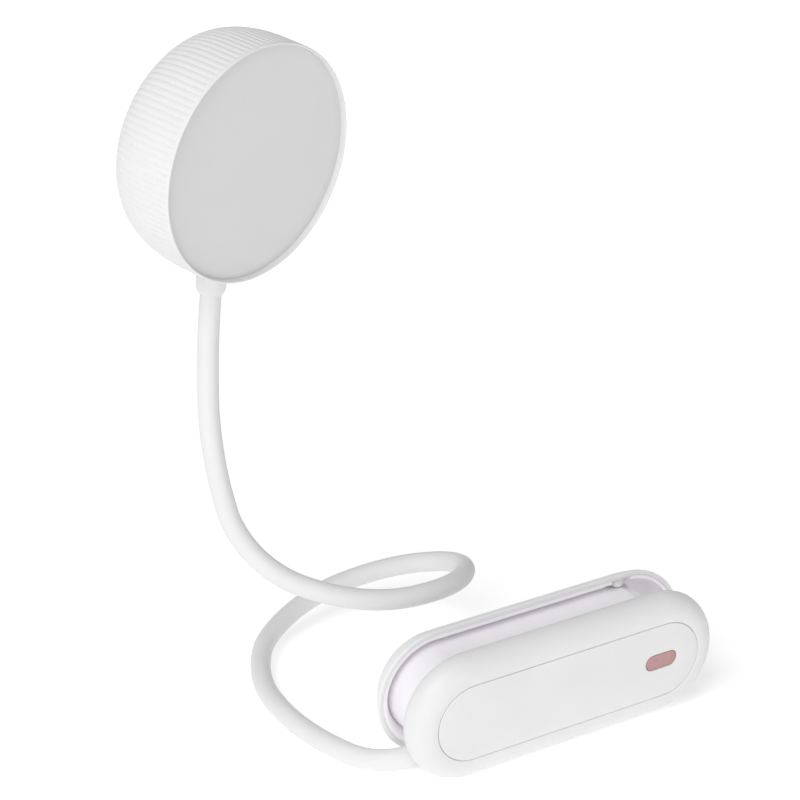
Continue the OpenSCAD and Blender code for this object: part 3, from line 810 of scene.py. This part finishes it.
def build_collar():
    """Collar under the drum: a plain tube whose end rounds in to meet the neck."""
    collar_r = 4.85
    mouth_r = SLEEVE_R + 0.04
    end = -HEAD_R - 12.0
    round_from = end + 2.6
    section = [(0.0, -32.0), (collar_r + 0.9, -32.0), (collar_r + 0.9, -33.0), (collar_r, -33.0)]
    section += [(collar_r, round_from)]
    section += [
        (collar_r - 1.15 * (1 - math.cos(t)), round_from - 2.45 * math.sin(t))
        for t in [math.pi / 2 * i / 12 for i in range(1, 12)]
    ]
    section += [(mouth_r + 0.18, end + 0.08), (mouth_r + 0.08, end), (mouth_r, end + 0.1)]
    section += [(mouth_r, end + 5.0), (0.0, end + 5.0)]
    bm = bmesh.new()
    lathe(bm, section, 96, lambda r, a, z: head_place(r * math.cos(a), COLLAR_DEPTH + r * math.sin(a), z))
    finish_piece(bm, "neck_collar", SHELL, "head", ["head_collar"])


# ---- Small parts ----

def build_spring():
    """Round wire coiled on the hinge pin, one leg to the core and one to the jaw's tail."""
    wire_r, coil_r, turns, pitch = 0.35, 1.8, 6, 0.9
    core_end, jaw_end = (4.4, -4.6), (15.0, 4.5)
    first = math.atan2(core_end[1], core_end[0]) - math.acos(coil_r / math.hypot(*core_end))
    last = math.atan2(jaw_end[1], jaw_end[0]) + math.acos(coil_r / math.hypot(*jaw_end))
    last -= 2 * math.pi * (turns + 1)
    half = (first - last) / (2 * math.pi) * pitch / 2
    columns = 10
    steps = 220
    path = [(*core_end, -half)]
    for i in range(steps + 1):
        angle = first + (last - first) * i / steps
        path.append((coil_r * math.cos(angle), coil_r * math.sin(angle), half * (2 * i / steps - 1)))
    legs = 12
    path += [
        tuple(a + (b - a) * i / legs for a, b in zip(path[-1], (*jaw_end, half))) for i in range(1, legs + 1)
    ]
    line = np.array([tuple(from_front(PIN_X + x, z, PIN_DEPTH + d)) for x, d, z in path])
    tangents, sides = carried_frames(line)
    rings = []
    for centre, tangent, side in zip(line, tangents, sides):
        across = np.cross(tangent, side)
        angles = [2 * math.pi * i / columns for i in range(columns)]
        spokes = [math.cos(a) * side + math.sin(a) * across for a in angles]
        rings.append([Vector(centre + wire_r * MM * spoke) for spoke in spokes])
    bm = bmesh.new()
    loops = add_rings(bm, rings)
    bm.faces.new(loops[0])
    bm.faces.new(loops[-1])
    piece = finish_piece(bm, "coil_spring", SPRING, None, ["torsion_spring"], 60.0)
    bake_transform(piece)


def build_inlet():
    """Charging inlet: drawn metal mouth with a contact tongue inside."""
    bm = bmesh.new()
    section = [(0.3, 50.4), (1.6, 50.4), (1.6, 57.5), (1.5, 57.6)]
    section += [(1.38, 57.6), (1.3, 57.5), (1.3, 51.4), (0.3, 51.4)]
    rings = [
        [from_front(x, z, INLET_DEPTH + d) for z, d in oval_ring(INLET_HALF, r, 0.0, 12)] for r, x in section
    ]
    loops = add_rings(bm, rings)
    bm.faces.new(loops[0])
    bm.faces.new(loops[-1])
    finish_piece(bm, "inlet_mouth", STEEL, "base", ["usb_socket"])
    tongue = bmesh.new()
    corners = [(-3.3, -0.35), (3.3, -0.35), (3.3, 0.35), (-3.3, 0.35)]
    rings = [
        [from_front(x, z * wide, INLET_DEPTH + d * thick) for z, d in corners]
        for x, wide, thick in ((51.3, 1.0, 1.0), (56.4, 1.0, 1.0), (56.8, 0.97, 0.7))
    ]
    loops = add_rings(tongue, rings)
    tongue.faces.new(loops[0])
    tongue.faces.new(loops[-1])
    finish_piece(tongue, "inlet_tongue", BOARD, "base")


# ---- Stage ----

def build_floor(size=4.0):
    bm = bmesh.new()
    bmesh.ops.create_grid(bm, x_segments=8, y_segments=8, size=size)
    mesh = bpy.data.meshes.new("floor")
    bm.to_mesh(mesh)
    bm.free()
    mesh.materials.append(FLOOR)
    floor = bpy.data.objects.new("floor", mesh)
    floor.location = (0.0, 0.0, FLOOR_Z - 0.02 * MM)
    bpy.context.scene.collection.objects.link(floor)


def add_light(name, place, aim, size, power, cone=180.0):
    data = bpy.data.lights.new(name, "AREA")
    data.shape = "DISK"
    data.size = size
    data.energy = power
    data.spread = math.radians(cone)
    light = bpy.data.objects.new(name, data)
    light.location = place
    light.rotation_euler = (Vector(aim) - Vector(place)).to_track_quat("-Z", "Y").to_euler()
    bpy.context.scene.collection.objects.link(light)


def build_studio():
    """Even white surround, a main soft box high on the left and weaker ones in front and overhead."""
    middle = (-0.02, 0.02, 0.08)
    add_light("left_softbox", (-1.1, -0.6, 1.3), middle, 1.2, 13.9)
    add_light("front_softbox", (-0.3, -1.7, 0.5), middle, 1.2, 2.2)
    add_light("low_softbox", (0.3, -1.6, 0.15), middle, 1.2, 2.9)
    add_light("top_softbox", (-0.1, 0.0, 1.7), middle, 1.4, 1.9)
    add_light("sweep_light", (0.55, 0.95, 0.9), (0.5, 0.9, 0.0), 0.8, 0.7, cone=60.0)
    world = bpy.data.worlds.new("surround")
    world.use_nodes = True
    nodes, links = world.node_tree.nodes, world.node_tree.links
    background = nodes["Background"]
    background.inputs["Color"].default_value = (1.0, 1.0, 1.0, 1.0)
    # The surround is brightest on the left and falls off to the right
    place = nodes.new("ShaderNodeTexCoord")
    parts = nodes.new("ShaderNodeSeparateXYZ")
    links.new(place.outputs["Generated"], parts.inputs["Vector"])
    links.new(spread(nodes, links, parts.outputs["X"], 0.61, 0.28, -1.0, 1.0), background.inputs["Strength"])
    bpy.context.scene.world = world
    bpy.context.scene.view_settings.view_transform = "Standard"


add_camera()
build_front_shell()
build_front_panel()
build_button()
build_jaw()
build_liner()
build_pad()
build_sleeves()
build_drum()
build_diffuser()
build_collar()
build_spring()
build_inlet()
dress(SHELL, "core_housing", "neck_gland")
dress(STEEL, "hinge_pin", "core_screws", "board_screws", "head_screws", "push_switch")
dress(STEEL, *[f"neck_core_{k}" for k in range(1, NECK_LINKS + 1)])
dress(BOARD, "main_board", "led_board")
dress(WRAP, "battery")
dress(PHOSPHOR, "leds")
build_floor()
build_studio()
